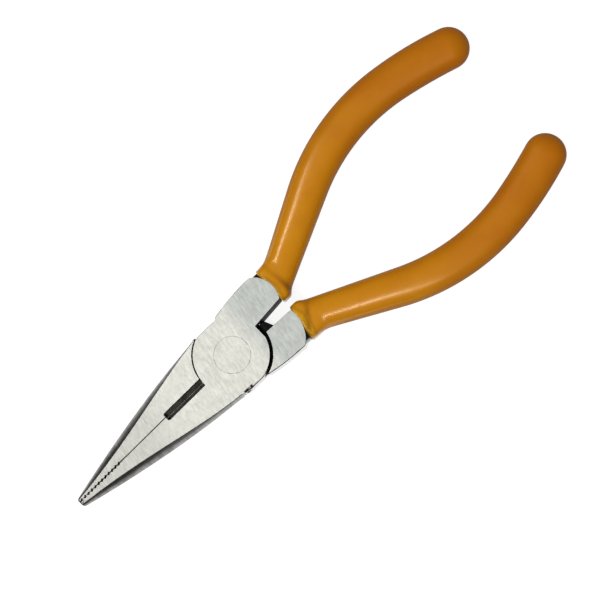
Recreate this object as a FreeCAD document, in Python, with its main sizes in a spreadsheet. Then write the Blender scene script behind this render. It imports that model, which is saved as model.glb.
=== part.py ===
import FreeCAD, Part
import math
import os

import Sketcher

# Long nose pliers with side cutters, 150 mm long, lying flat with the jaws closed.
# The pivot stands on the Z axis, +X runs to the jaw tips, z = 0 is the rear face.
# Both levers are drawn in one way: the jaw at +x +y, the handle at -x -y and the
# lap disc in the upper half. The rear lever is then turned over about the X axis.

# Driving dimensions, millimetres and degrees.
DIMENSIONS = {
    # joint
    "head_thick": 9.5,
    "head_half": 9.2,
    "lap_gap": 0.12,
    "disc_rad": 9.88,
    "disc_back_rad": 9.35,
    "shoulder_rad": 10.14,
    "rivet_head_rad": 4.6,
    "rivet_shank_rad": 3.0,
    "rivet_rim": 0.5,
    "rivet_running_fit": 0.04,
    # tang: the ground block between the disc and the dipped handle
    "throat_x": 9.0,
    "tang_step_x": 3.4,
    "tang_step_half": 9.65,
    "tang_side_rad": 60.0,
    "tang_end_half": 10.85,
    "tang_corner_round": 1.6,
    "front_tang_wall": 1.14,
    "front_tang_wall_end": 1.87,
    "front_tang_end_x": 18.1,
    "front_tang_corner_x": 16.1,
    "front_tang_end_rad": 6.4,
    "rear_tang_wall": 1.73,
    "rear_tang_wall_end": 2.1,
    "rear_tang_end_x": 18.2,
    "rear_tang_corner_x": 14.6,
    "rear_tang_end_rad": 8.8,
    "web_reach_x": 11.3,
    "web_foot_x": 12.7,
    "web_over": 1.14,
    "web_under_x": 9.7,
    "web_under": 1.8,
    "web_step": 0.15,
    # jaw
    "jaw_root_x": 4.8,
    "jaw_tip_x": 52.75,
    "parting_offset": 0.5,
    "jaw_gap": 0.12,
    "front_jaw_root_half": 9.3,
    "front_jaw_tip_half": 1.45,
    "front_jaw_side_power": 1.5,
    "front_jaw_edge_root_half": 9.2,
    "front_jaw_edge_tip_half": 0.9,
    "front_jaw_edge_hollow": 0.42,
    "front_jaw_edge_swell": 0.55,
    "rear_jaw_root_half": 9.0,
    "rear_jaw_tip_half": 1.05,
    "rear_jaw_side_power": 1.42,
    "rear_jaw_edge_root_half": 8.8,
    "rear_jaw_edge_tip_half": 0.65,
    "rear_jaw_edge_hollow": 0.55,
    "rear_jaw_edge_swell": 0.1,
    "jaw_tip_thick": 3.6,
    "jaw_thick_power": 1.6,
    "jaw_tip_round": 0.6,
    # two nicks struck in the edge of the joint
    "nick_x": 3.6,
    "nick_small_x": 1.95,
    "nick_half": 0.8,
    "nick_small_half": 0.45,
    "nick_floor": 8.55,
    "nick_depth": 0.6,
    # side cutter
    "cutter_start_x": 9.95,
    "cutter_gap": 0.02,
    "cutter_end_x": 22.6,
    "front_cutter_half": 1.26,
    "rear_cutter_half": 0.99,
    "cutter_bevel": 0.8,
    "cutter_corner": 0.5,
    # gripping teeth
    "front_tooth_first_x": 39.1,
    "rear_tooth_first_x": 38.78,
    "tooth_pitch": 1.18,
    "tooth_count": 12,
    "tooth_half": 0.5,
    "tooth_depth": 0.42,
    # handle core and dipped grip
    "grip_thick": 9.5,
    "grip_round": 4.0,
    "core_thick": 7.2,
    "core_round": 2.4,
    "core_start_x": 12.5,
    "core_wall": 2.8,
    "coat": 1.3,
    "rim_coat": 0.3,
    "end_coat": 2.2,
    "front_grip_outer_x": 18.2,
    "front_grip_inner_x": 18.2,
    "front_grip_end_x": 93.25,
    "rear_grip_outer_x": 16.8,
    "rear_grip_inner_x": 18.3,
    "rear_grip_end_x": 91.75,
    "neck_outer_x": 21.0,
    "neck_outer_half": 11.04,
    "neck_outer_front_half": 10.95,
    "neck_round": 7.0,
    "neck_inner_x": 20.0,
    "neck_inner_half": 1.2,
    "neck_inner_front_half": 0.95,
    "outer_slope": 28.6,
    "outer_bend_x": 38.4,
    "outer_bend_rad": 58.7,
    "outer_tail": 7.2,
    "outer_tail_rad": 99.0,
    "inner_slope": 25.0,
    "inner_bend_x": 44.5,
    "inner_bend_rad": 50.1,
    "inner_tail": 11.2,
    "inner_tail_rad": 134.0,
    "grip_end_half": 5.2,
    "cap_angle": 18.2,
}

# Sections along the jaw's loft, and the length below which two positions are one.
JAW_STEPS = 5
SAME = 1e-6


def make_sheet(doc):
    """Puts every driving dimension in a spreadsheet cell with its own alias."""
    sheet = doc.addObject("Spreadsheet::Sheet", "dims")
    for row, (alias, value) in enumerate(DIMENSIONS.items(), start=1):
        sheet.set(f"A{row}", alias)
        sheet.set(f"B{row}", str(value))
        sheet.setAlias(f"B{row}", alias)
    doc.recompute()
    return sheet


doc = FreeCAD.newDocument("long_nose_pliers")
sheet = make_sheet(doc)


def value_of(expression):
    """Value of a sheet expression, as a plain number."""
    result = sheet.evalExpression(str(expression))
    return float(getattr(result, "Value", result))


def check(feature):
    """Stops the build when a feature has failed or holds no valid shape."""
    doc.recompute()
    bad = [state for state in feature.State if state in ("Invalid", "Error")]
    if bad or feature.Shape.isNull() or not feature.Shape.isValid():
        raise RuntimeError(f"{feature.Label} failed: {feature.State}")
    return feature


def check_cut(feature, volume_before):
    """Stops the build when a cut has taken nothing away."""
    check(feature)
    if feature.Shape.Volume > volume_before - SAME:
        raise RuntimeError(f"{feature.Label} cuts nothing")
    return feature


# ---- sketches -----------------------------------------------------------------


def origin_part(body, role):
    """Origin plane or axis of a body, found by its role."""
    return next(f for f in body.Origin.OriginFeatures if f.Role == role)


def new_sketch(body, name, plane="XY_Plane", offset=None):
    """Sketch on one of the body's own origin planes, offset along its normal."""
    sketch = body.newObject("Sketcher::SketchObject", name)
    sketch.AttachmentSupport = [(origin_part(body, plane), "")]
    sketch.MapMode = "FlatFace"
    if offset:
        sketch.setExpression("AttachmentOffset.Base.z", offset)
    return sketch


def bind(sketch, kind, references, expression):
    """Adds a dimension to the sketch and ties it to the sheet."""
    constraint = Sketcher.Constraint(kind, *references, value_of(expression))
    index = sketch.addConstraint(constraint)
    sketch.setExpression(f"Constraints[{index}]", str(expression))


def corner_point(corner):
    """Corner given by two expressions, as a vector."""
    return FreeCAD.Vector(value_of(corner[0]), value_of(corner[1]), 0)


def arc_between(start, end, radius, side):
    """Short arc from start to end; side +1 keeps the centre on the left."""
    chord = end - start
    left = FreeCAD.Vector(-chord.y, chord.x, 0).normalize()
    height = math.sqrt(max(radius**2 - (chord.Length / 2) ** 2, 0))
    centre = (start + end) / 2 + left * height * side
    first, last = (start, end) if side > 0 else (end, start)
    angles = [math.atan2(p.y - centre.y, p.x - centre.x) for p in (first, last)]
    circle = Part.Circle(centre, FreeCAD.Vector(0, 0, 1), radius)
    return Part.ArcOfCircle(circle, *angles)


def draw_outline(sketch, corners):
    """Closed outline through corners (x, y) or (x, y, radius, side).

    A corner with a radius starts an arc to the next corner, the others a straight
    edge. Every corner and radius is bound to the sheet.
    """
    edges = []
    for corner, following in zip(corners, corners[1:] + corners[:1]):
        start, end = corner_point(corner), corner_point(following)
        if len(corner) == 2:
            index = sketch.addGeometry(Part.LineSegment(start, end), False)
            edges.append((index, 1, 2))
            continue
        radius, side = corner[2:]
        arc = arc_between(start, end, value_of(radius), side)
        index = sketch.addGeometry(arc, False)
        edges.append((index, 1, 2) if side > 0 else (index, 2, 1))
    for number, (index, leave, arrive) in enumerate(edges):
        following = edges[(number + 1) % len(edges)]
        joint = Sketcher.Constraint("Coincident", index, arrive, *following[:2])
        sketch.addConstraint(joint)
        bind(sketch, "DistanceX", (-1, 1, index, leave), corners[number][0])
        bind(sketch, "DistanceY", (-1, 1, index, leave), corners[number][1])
        if len(corners[number]) > 2:
            bind(sketch, "Radius", (index,), corners[number][2])
    doc.recompute()
    return sketch


def draw_circle(sketch, radius):
    """Circle about the pivot."""
    circle = Part.Circle(FreeCAD.Vector(0, 0, 0), FreeCAD.Vector(0, 0, 1), value_of(radius))
    index = sketch.addGeometry(circle, False)
    sketch.addConstraint(Sketcher.Constraint("Coincident", index, 3, -1, 1))
    bind(sketch, "Radius", (index,), radius)
    doc.recompute()
    return sketch


# ---- features -----------------------------------------------------------------


def pad(body, sketch, length, midplane=False):
    """Pad of a sketch, along its normal or to both sides of it."""
    feature = body.newObject("PartDesign::Pad", f"{sketch.Name}_pad")
    feature.Profile = sketch
    feature.setExpression("Length", length)
    if midplane:
        feature.SideType = "Symmetric"
    return check(feature)


def pocket(body, sketch, length, reverse=True):
    """Pocket of a sketch; reverse cuts along the sketch's normal."""
    before = body.Shape.Volume
    feature = body.newObject("PartDesign::Pocket", f"{sketch.Name}_pocket")
    feature.Profile = sketch
    feature.setExpression("Length", length)
    feature.Reversed = reverse
    return check_cut(feature, before)


def round_edges(body, base, radius, wanted):
    """Fillet on the edges of base that pass the test."""
    names = [f"Edge{n}" for n, edge in enumerate(base.Shape.Edges, start=1) if wanted(edge)]
    feature = body.newObject("PartDesign::Fillet", f"{base.Name}_round")
    feature.Base = (base, names)
    feature.setExpression("Radius", radius)
    return check(feature)


def lies_at_height(edge, heights):
    """True when the whole edge lies at one of the heights."""
    box = edge.BoundBox
    flat = box.ZLength < SAME
    return flat and any(abs(box.ZMin - height) < SAME for height in heights)


def upright_at(x, y):
    """Test for an upright edge that stands at one point of the plan."""

    def test(edge):
        box = edge.BoundBox
        upright = box.XLength < SAME and box.YLength < SAME
        return upright and abs(box.XMin - x) < SAME and abs(box.YMin - y) < SAME

    return test


# ---- handle outline, shared by the steel core and the dip ------------------------


def long_edge(side, inset, end_x):
    """Bend, tail and end of one long handle edge, as distances from the pivot.

    The edge leaves the head straight at its slope, bends until it runs inwards at
    its tail angle, and ends in a flatter tail. side is outer or inner; the inset
    moves the edge into the handle.
    """
    sign = "-" if side == "outer" else "+"
    slope, tail = f"dims.{side}_slope", f"dims.{side}_tail"
    bend_rad = f"(dims.{side}_bend_rad {sign} {inset})"
    tail_rad = f"(dims.{side}_tail_rad {sign} {inset})"
    neck_y = f"(dims.neck_{side}_half {sign} {inset} / cos({slope}))"
    bend_x = f"(dims.{side}_bend_x)"
    bend_y = f"({neck_y} + ({bend_x} - dims.neck_{side}_x) * tan({slope}))"
    tail_x = f"({bend_x} + {bend_rad} * (sin({slope}) + sin({tail})))"
    tail_y = f"({bend_y} + {bend_rad} * (cos({tail}) - cos({slope})))"
    turn = f"asin(sin({tail}) + ({end_x} - {tail_x}) / {tail_rad})"
    end_y = f"({tail_y} - {tail_rad} * (cos({tail}) - cos({turn})))"
    return {
        "neck": (f"dims.neck_{side}_x", neck_y),
        "bend": (bend_x, bend_y),
        "tail": (tail_x, tail_y),
        "end": (end_x, end_y),
        "bend_rad": bend_rad,
        "tail_rad": tail_rad,
    }


def handle_corners(front, inset, end_x):
    """Corners of a handle's plan: two bowed long edges joined by a round end.

    front lists the corners of its front end, outer ones first.
    """
    outer = long_edge("outer", inset, f"({end_x})")
    skew = f"2 * (dims.grip_end_half - {inset}) * sin(dims.cap_angle)"
    inner = long_edge("inner", inset, f"({end_x} - {skew})")
    (outer_x, outer_y), (inner_x, inner_y) = outer["end"], inner["end"]
    cap_x = f"(({outer_x} + {inner_x}) / 2 + ({outer_y} - {inner_y}) / 2)"
    cap_y = f"(({outer_y} + {inner_y}) / 2 - ({outer_x} - {inner_x}) / 2)"
    cap_rad = f"sqrt(({outer_x} - {inner_x})^2 + ({outer_y} - {inner_y})^2) / 2"
    corners = [
        *front,
        inner["bend"] + (inner["bend_rad"], -1),
        inner["tail"] + (inner["tail_rad"], -1),
        inner["end"] + (cap_rad, 1),
        (cap_x, cap_y, cap_rad, 1),
        outer["end"] + (outer["tail_rad"], 1),
        outer["tail"] + (outer["bend_rad"], 1),
        outer["bend"],
        outer["neck"],
    ]
    return [(f"-{x}", f"-{y}", *arc) for x, y, *arc in corners]


def add_core(body, name):
    """Steel bar inside the grip, rooted in the tang."""
    rim_y = "(dims.neck_outer_front_half - dims.rim_coat)"
    front = [
        (f"dims.{name}_grip_outer_x", rim_y),
        ("dims.core_start_x", rim_y),
        ("dims.core_start_x", "dims.core_wall"),
        ("dims.neck_inner_x", "dims.core_wall"),
    ]
    sketch = new_sketch(body, f"{name}_core", offset="dims.head_thick / 2")
    draw_outline(sketch, handle_corners(front, "dims.coat", f"dims.{name}_grip_end_x - dims.end_coat"))
    bar = pad(body, sketch, "dims.core_thick", midplane=True)
    middle, half = value_of("dims.head_thick") / 2, value_of("dims.core_thick") / 2
    heights = (middle - half, middle + half)
    start_x = -value_of("dims.core_start_x")

    def along_the_bar(edge):
        return lies_at_height(edge, heights) and edge.BoundBox.XMin < start_x - SAME

    return round_edges(body, bar, "dims.core_round", along_the_bar)


def make_grip_blank(name):
    """Dipped grip before its hollow: a bowed bar, rounded all along."""
    body = doc.addObject("PartDesign::Body", f"{name}_grip_blank")
    front = [
        (f"dims.{name}_grip_outer_x", "dims.neck_outer_front_half"),
        (f"dims.{name}_grip_inner_x", "dims.neck_inner_front_half"),
        ("dims.neck_inner_x", "dims.neck_inner_half"),
    ]
    sketch = new_sketch(body, f"{name}_grip", offset="dims.head_thick / 2")
    draw_outline(sketch, handle_corners(front, "0", f"dims.{name}_grip_end_x"))
    bar = pad(body, sketch, "dims.grip_thick", midplane=True)
    neck = (-value_of("dims.neck_outer_x"), -value_of("dims.neck_outer_half"))
    bar = round_edges(body, bar, "dims.neck_round", upright_at(*neck))
    middle, half = value_of("dims.head_thick") / 2, value_of("dims.grip_thick") / 2
    heights = (middle - half, middle + half)
    front_x = -value_of(f"dims.{name}_grip_inner_x") - SAME

    def along_the_grip(edge):
        front_edge = edge.BoundBox.XMin > front_x
        return lies_at_height(edge, heights) and not front_edge

    round_edges(body, bar, "dims.grip_round", along_the_grip)
    return body


# ---- levers -------------------------------------------------------------------


def on_circle(radius, other):
    """Second coordinate of the point on a circle about the pivot."""
    return f"sqrt(({radius})^2 - ({other})^2)"


def add_head(body, name, parting):
    """Lap disc and tang, drawn at full thickness."""
    disc, back, flat = "dims.disc_rad", "dims.disc_back_rad", "dims.head_half"
    root_x = "dims.jaw_root_x"
    root_y = f"({parting} + dims.{name}_jaw_root_half)"
    corners = [
        (on_circle(disc, flat), f"-{flat}", disc, 1),
        (on_circle(disc, parting), parting, disc, 1),
        (root_x, on_circle(disc, root_x)),
        (root_x, root_y),
        (f"{root_x} / 2", flat),
        (f"-{on_circle(back, flat)}", flat, back, 1),
        ("-dims.throat_x", on_circle(back, "dims.throat_x")),
        ("-dims.throat_x", f"-dims.{name}_tang_wall"),
        (
            f"-dims.{name}_tang_end_x", f"-dims.{name}_tang_wall_end",
            f"dims.{name}_tang_end_rad", 1,
        ),
        (f"-dims.{name}_tang_corner_x", "-dims.tang_end_half", "dims.tang_side_rad", 1),
        ("-dims.tang_step_x", "-dims.tang_step_half"),
        ("-dims.tang_step_x + dims.tang_step_half - dims.head_half", f"-{flat}"),
    ]
    sketch = draw_outline(new_sketch(body, f"{name}_head"), corners)
    block = pad(body, sketch, "dims.head_thick")
    corner = (-value_of(f"dims.{name}_tang_corner_x"), -value_of("dims.tang_end_half"))
    return round_edges(body, block, "dims.tang_corner_round", upright_at(*corner))


def add_jaw(body, name, parting):
    """Jaw: a loft of sections with a round flank, thinning towards the tip.

    The edge of its flat face is bowed: hollow towards the tip, swelled at the root.
    """
    sketches = []
    for step in range(JAW_STEPS + 1):
        share = step / JAW_STEPS
        thick = (
            "(dims.head_thick - (dims.head_thick - dims.jaw_tip_thick)"
            f" * {share}^dims.jaw_thick_power)"
        )
        own = f"dims.{name}_jaw"
        fall = f"({own}_root_half - {own}_tip_half) * {share}^{own}_side_power"
        side = f"({own}_root_half - {fall})"
        bent = (
            f"({share} + {own}_edge_hollow * {share}^2 * (1 - {share})"
            f" - {own}_edge_swell * {share} * (1 - {share})^3)"
        )
        edge_fall = f"({own}_edge_root_half - {own}_edge_tip_half) * {bent}"
        edge = f"({own}_edge_root_half - {edge_fall})"
        bulge = f"({side} - {edge})"
        flank_rad = f"(({thick} / 2)^2 + {bulge}^2) / (2 * {bulge})"
        bottom = f"(dims.head_thick - {thick}) / 2"
        top = f"(dims.head_thick + {thick}) / 2"
        near, far = f"({parting} + dims.jaw_gap / 2)", f"({parting} + {edge})"
        sketch = new_sketch(
            body, f"{name}_jaw_{step}", "YZ_Plane",
            f"dims.jaw_root_x + (dims.jaw_tip_x - dims.jaw_root_x) * {share}",
        )
        corners = [(near, bottom), (far, bottom, flank_rad, 1), (far, top), (near, top)]
        sketches.append(draw_outline(sketch, corners))
    loft = body.newObject("PartDesign::AdditiveLoft", f"{name}_jaw_loft")
    loft.Profile = sketches[0]
    loft.Sections = sketches[1:]
    check(loft)
    tip_x = value_of("dims.jaw_tip_x")
    face_y = value_of(f"{parting} + dims.jaw_gap / 2")

    def around_the_tip(edge):
        box = edge.BoundBox
        return box.XMin > tip_x - SAME and box.YMax > face_y + SAME

    return round_edges(body, loft, "dims.jaw_tip_round", around_the_tip)


def cut_lap(body, name):
    """Lower half of the joint, where the other lever's disc turns."""
    sketch = draw_circle(new_sketch(body, f"{name}_lap"), "dims.shoulder_rad")
    return pocket(body, sketch, "(dims.head_thick + dims.lap_gap) / 2")


def cut_side_cutter(body, name, parting):
    """Recess in both faces of the jaw, down to a bevelled edge that meets the other jaw's."""
    middle = "dims.head_thick / 2"
    wall = f"({parting} + dims.{name}_cutter_half)"
    clear = f"({parting} - dims.jaw_gap)"
    tip = f"({parting} + dims.cutter_gap / 2)"
    for face, sign in (("upper", "+"), ("lower", "-")):
        heel = f"{middle} {sign} dims.cutter_bevel"
        beyond = f"{middle} {sign} dims.head_thick"
        corners = [
            (clear, middle),
            (tip, middle),
            (wall, heel),
            (wall, beyond),
            (clear, beyond),
        ]
        sketch = new_sketch(body, f"{name}_{face}_cutter", "YZ_Plane", "dims.cutter_start_x")
        draw_outline(sketch, corners)
        recess = pocket(body, sketch, "dims.cutter_end_x - dims.cutter_start_x")
    far_corner = upright_at(value_of("dims.cutter_end_x"), value_of(wall))
    round_edges(body, recess, "dims.cutter_corner", far_corner)
    root = f"{parting} + dims.jaw_gap"
    slope = f"dims.cutter_bevel / (dims.{name}_cutter_half - dims.cutter_gap / 2)"
    half = f"(dims.jaw_gap - dims.cutter_gap / 2) * {slope}"
    sketch = new_sketch(body, f"{name}_cutting_edge", "YZ_Plane", "dims.cutter_start_x")
    draw_outline(sketch, [(tip, middle), (root, f"{middle} + {half}"), (root, f"{middle} - {half}")])
    return pad(body, sketch, "dims.cutter_end_x - dims.cutter_start_x")


def cut_teeth(body, name, parting):
    """Row of V notches across the gripping face."""
    sketch = new_sketch(body, f"{name}_tooth")
    face = f"({parting} + dims.jaw_gap / 2)"
    middle, half = f"dims.{name}_tooth_first_x", "dims.tooth_half"
    corners = [
        (f"{middle} - {half}", face),
        (f"{middle} - {half}", f"{face} - dims.jaw_gap"),
        (f"{middle} + {half}", f"{face} - dims.jaw_gap"),
        (f"{middle} + {half}", face),
        (middle, f"{face} + dims.tooth_depth"),
    ]
    draw_outline(sketch, corners)
    notch = pocket(body, sketch, "dims.head_thick")
    before = body.Shape.Volume
    row = body.newObject("PartDesign::LinearPattern", f"{name}_teeth")
    row.Originals = [notch]
    row.Direction = (origin_part(body, "X_Axis"), [""])
    row.setExpression("Length", "dims.tooth_pitch * (dims.tooth_count - 1)")
    row.setExpression("Occurrences", "dims.tooth_count")
    body.Tip = row
    return check_cut(row, before)


def rivet_corners(fit):
    """Half section of the rivet, or of its hole when there is a fit."""
    head, shank = f"dims.rivet_head_rad + {fit}", f"dims.rivet_shank_rad + {fit}"
    taper = "(dims.rivet_head_rad - dims.rivet_shank_rad)"
    low, high = "dims.rivet_rim", "dims.head_thick - dims.rivet_rim"
    return [
        ("0", "0"),
        (head, "0"),
        (head, low),
        (shank, f"{low} + {taper}"),
        (shank, f"{high} - {taper}"),
        (head, high),
        (head, "dims.head_thick"),
        ("0", "dims.head_thick"),
    ]


def cut_rivet_hole(body, name, fit):
    """Countersunk hole for the rivet."""
    before = body.Shape.Volume
    sketch = draw_outline(new_sketch(body, f"{name}_hole", "XZ_Plane"), rivet_corners(fit))
    groove = body.newObject("PartDesign::Groove", f"{name}_hole_groove")
    groove.Profile = sketch
    groove.ReferenceAxis = (sketch, ["V_Axis"])
    return check_cut(groove, before)


def add_web(body):
    """Half-thickness web in the rear lever's throat, between disc and tang."""
    sketch = new_sketch(body, "rear_web", offset="(dims.head_thick + dims.lap_gap) / 2")
    inside = "dims.throat_x / 2"
    corners = [
        (f"-{inside}", "dims.web_under"),
        ("-dims.web_under_x", "dims.web_under"),
        ("-(dims.web_under_x + dims.web_step)", "dims.web_over"),
        ("-dims.web_reach_x", "dims.web_over"),
        ("-dims.web_foot_x", "-dims.rear_tang_wall_end"),
        (f"-{inside}", "-dims.rear_tang_wall_end"),
    ]
    draw_outline(sketch, corners)
    return pad(body, sketch, "(dims.head_thick - dims.lap_gap) / 2")


def cut_nicks(body):
    """Two nicks struck in the edge of the joint, beside the jaw's root."""
    for label in ("", "_small"):
        middle, half = f"dims.nick{label}_x", f"dims.nick{label}_half"
        outside = "dims.head_half + dims.nick_depth"
        sketch = new_sketch(body, f"nick{label}", offset="dims.head_thick - dims.nick_depth")
        corners = [
            (f"{middle} - {half}", outside),
            (f"{middle} - {half} / 2", "dims.nick_floor"),
            (f"{middle} + {half} / 2", "dims.nick_floor"),
            (f"{middle} + {half}", outside),
        ]
        pocket(body, draw_outline(sketch, corners), "dims.nick_depth")


def make_lever(name, parting, fit):
    """One forged lever: handle core, tang, lap disc and jaw in one piece."""
    body = doc.addObject("PartDesign::Body", f"{name}_lever")
    add_core(body, name)
    add_head(body, name, parting)
    add_jaw(body, name, parting)
    cut_lap(body, name)
    if name == "rear":
        add_web(body)
    else:
        cut_nicks(body)
    cut_side_cutter(body, name, parting)
    cut_teeth(body, name, parting)
    cut_rivet_hole(body, name, fit)
    return body


def turn_over(body):
    """Turns a piece over about the X axis, at mid-thickness."""
    body.Placement.Rotation = FreeCAD.Rotation(FreeCAD.Vector(1, 0, 0), 180)
    body.setExpression("Placement.Base.z", "dims.head_thick")
    doc.recompute()


def make_rivet():
    """Rivet with a countersunk head at each end, finished flush."""
    body = doc.addObject("PartDesign::Body", "rivet")
    sketch = draw_outline(new_sketch(body, "rivet_section", "XZ_Plane"), rivet_corners("0"))
    turned = body.newObject("PartDesign::Revolution", "rivet_turned")
    turned.Profile = sketch
    turned.ReferenceAxis = (sketch, ["V_Axis"])
    check(turned)
    return body


def make_grip(name, lever, blank):
    """Dip on one handle: the blank hollowed by the steel that it coats."""
    grip = doc.addObject("Part::Cut", f"{name}_grip")
    grip.Base = blank
    grip.Tool = lever
    return check(grip)


# ---- assembly -----------------------------------------------------------------

front_lever = make_lever("front", "(-dims.parting_offset)", "dims.rivet_running_fit")
rear_lever = make_lever("rear", "dims.parting_offset", "0")
front_blank = make_grip_blank("front")
rear_blank = make_grip_blank("rear")
for turned_piece in (rear_lever, rear_blank):
    turn_over(turned_piece)

pieces = {
    "front_lever": front_lever,
    "rear_lever": rear_lever,
    "rivet": make_rivet(),
    "front_grip": make_grip("front", front_lever, front_blank),
    "rear_grip": make_grip("rear", rear_lever, rear_blank),
}

doc.recompute()
for obj in doc.Objects:
    if any(state in ("Invalid", "Error") for state in obj.State):
        raise RuntimeError(f"{obj.Label} failed: {obj.State}")

os.makedirs("parts", exist_ok=True)
for node, piece in pieces.items():
    piece.Label = node
    shape = piece.Shape
    if shape.isNull() or not shape.isValid() or len(shape.Solids) != 1:
        raise RuntimeError(f"{node} is not one valid solid")
    shape.exportStep(f"parts/{node}.step")
    box = shape.BoundBox
    print(
        f"{node}: {shape.Volume:.0f} mm3, x {box.XMin:.2f} to {box.XMax:.2f},"
        f" y {box.YMin:.2f} to {box.YMax:.2f}, z {box.ZMin:.2f} to {box.ZMax:.2f}"
    )
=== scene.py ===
"""Long nose pliers with side cutters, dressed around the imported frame.

The two forged levers and their rivet keep the frame's shape, with worn edges and a
ground, polished or oxide finish on each surface. The dipped grips are lofted between
the rails of each handle by a Geometry Nodes tree. Sizes in the classes are in
millimetres, and MM turns them into Blender's metres.
"""

import logging
import math
from dataclasses import dataclass, field
from enum import IntEnum
from functools import cached_property
from typing import Any, Callable

import bmesh
import bpy
from mathutils import Matrix, Vector


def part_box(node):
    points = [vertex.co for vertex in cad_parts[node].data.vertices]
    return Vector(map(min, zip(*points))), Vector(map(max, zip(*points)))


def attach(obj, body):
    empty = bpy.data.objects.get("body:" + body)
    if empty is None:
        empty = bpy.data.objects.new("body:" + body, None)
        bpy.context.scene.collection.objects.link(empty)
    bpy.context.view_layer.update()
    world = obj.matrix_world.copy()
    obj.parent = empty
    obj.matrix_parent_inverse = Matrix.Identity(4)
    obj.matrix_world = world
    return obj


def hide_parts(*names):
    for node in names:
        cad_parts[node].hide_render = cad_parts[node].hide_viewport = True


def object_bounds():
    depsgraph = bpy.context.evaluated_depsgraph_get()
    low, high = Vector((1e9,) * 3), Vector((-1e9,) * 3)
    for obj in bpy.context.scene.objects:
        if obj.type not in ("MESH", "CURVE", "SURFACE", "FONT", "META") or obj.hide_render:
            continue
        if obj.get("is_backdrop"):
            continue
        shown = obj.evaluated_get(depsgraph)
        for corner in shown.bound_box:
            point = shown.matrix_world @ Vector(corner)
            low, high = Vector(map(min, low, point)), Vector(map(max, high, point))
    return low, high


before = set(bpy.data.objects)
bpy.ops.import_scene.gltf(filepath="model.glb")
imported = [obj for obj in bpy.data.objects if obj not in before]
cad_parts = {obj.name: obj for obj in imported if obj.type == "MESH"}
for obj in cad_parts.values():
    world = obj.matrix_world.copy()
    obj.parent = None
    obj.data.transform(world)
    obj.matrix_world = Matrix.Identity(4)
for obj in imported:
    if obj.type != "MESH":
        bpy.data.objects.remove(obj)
CAD_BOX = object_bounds()

MM = 0.001
Colour = tuple[float, float, float]
Span = tuple[float, float]
Stretch = tuple[float, float, float]
Sockets = dict[str, bpy.types.NodeSocket]
log = logging.getLogger("pliers")

# Numbers that are stored on the meshes for the finishes to read.
HEIGHT_SHARE = "height_share"
THIN_COAT = "thin_coat"
# Painted shade in the grip's crease and in the valley beside the rim.
CREASE_SHADE = "crease_shade"

# Noise values that become 0 and 1, how grain shrinks into bands, and the ring's noise scale.
LINE_SPREAD: Span = (0.25, 0.75)
PATCH_SPREAD: Span = (0.3, 0.7)
BAND_SCALE: Stretch = (0.22, 0.5, 0.5)
RING_NOISE = 0.55


# ---- node trees ---------------------------------------------------------------


class Board:
    """Adds nodes to one tree and feeds their sockets."""

    def __init__(self, tree: bpy.types.NodeTree) -> None:
        """Takes the tree to build in."""
        self.tree = tree

    def feed(self, socket: bpy.types.NodeSocket, value: Any) -> None:
        """Links a socket to the value when that is a socket, or sets its constant."""
        if isinstance(value, bpy.types.NodeSocket):
            self.tree.links.new(value, socket)
        else:
            socket.default_value = value

    def add(self, kind: str, feeds: dict[Any, Any] | None = None, **settings: Any) -> bpy.types.Node:
        """Adds a node.

        Args:
            kind: the node's Blender type.
            feeds: values or sockets for its inputs, by name or by number.
            settings: attributes of the node, such as its operation.

        Returns:
            The new node.
        """
        node = self.tree.nodes.new(kind)
        for name, value in settings.items():
            setattr(node, name, value)
        for name, value in (feeds or {}).items():
            self.feed(node.inputs[name], value)
        return node

    def maths(self, operation: str, *values: Any) -> bpy.types.NodeSocket:
        """One Math node; returns its result."""
        return self.add("ShaderNodeMath", dict(enumerate(values)), operation=operation).outputs[0]

    def vector(self, operation: str, *values: Any) -> bpy.types.NodeSocket:
        """One Vector Math node; returns its vector, or its number where it gives one."""
        node = self.add("ShaderNodeVectorMath", dict(enumerate(values)), operation=operation)
        return node.outputs["Value" if operation in ("LENGTH", "DOT_PRODUCT") else "Vector"]

    def scaled(self, vector: Any, scale: Any) -> bpy.types.NodeSocket:
        """A vector times a number."""
        feeds = {0: vector, "Scale": scale}
        return self.add("ShaderNodeVectorMath", feeds, operation="SCALE").outputs["Vector"]

    def ramp(self, value: Any, low: Any, high: Any, start: Any = 0.0, end: Any = 1.0) -> bpy.types.NodeSocket:
        """Smooth step of value from start to end while it goes from low to high."""
        feeds = {"Value": value, "From Min": low, "From Max": high, "To Min": start, "To Max": end}
        return self.add("ShaderNodeMapRange", feeds, interpolation_type="SMOOTHSTEP").outputs["Result"]

    def near(
        self, value: Any, middle: Any, half: Any, core: float, strength: float = 1.0
    ) -> bpy.types.NodeSocket:
        """Mask that has its strength within core of the middle, and is 0 from half away."""
        off = self.maths("ABSOLUTE", self.maths("SUBTRACT", value, middle))
        return self.ramp(off, core, half, strength, 0.0)

    def mixed(self, share: Any, first: Any, second: Any) -> bpy.types.NodeSocket:
        """Mix of two colours."""
        node = self.add("ShaderNodeMix", data_type="RGBA", clamp_factor=True)
        sockets = {s.identifier: s for s in node.inputs}
        self.feed(sockets["Factor_Float"], share)
        for name, colour in (("A_Color", first), ("B_Color", second)):
            constant = not isinstance(colour, bpy.types.NodeSocket) and len(colour) == 3
            self.feed(sockets[name], (*colour, 1.0) if constant else colour)
        return next(s for s in node.outputs if s.identifier == "Result_Color")

    def noise(self, vector: Any, scale: float, detail: float) -> bpy.types.NodeSocket:
        """Value of a noise texture."""
        feeds = {"Vector": vector, "Scale": scale, "Detail": detail}
        return self.add("ShaderNodeTexNoise", feeds).outputs["Fac"]


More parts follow.
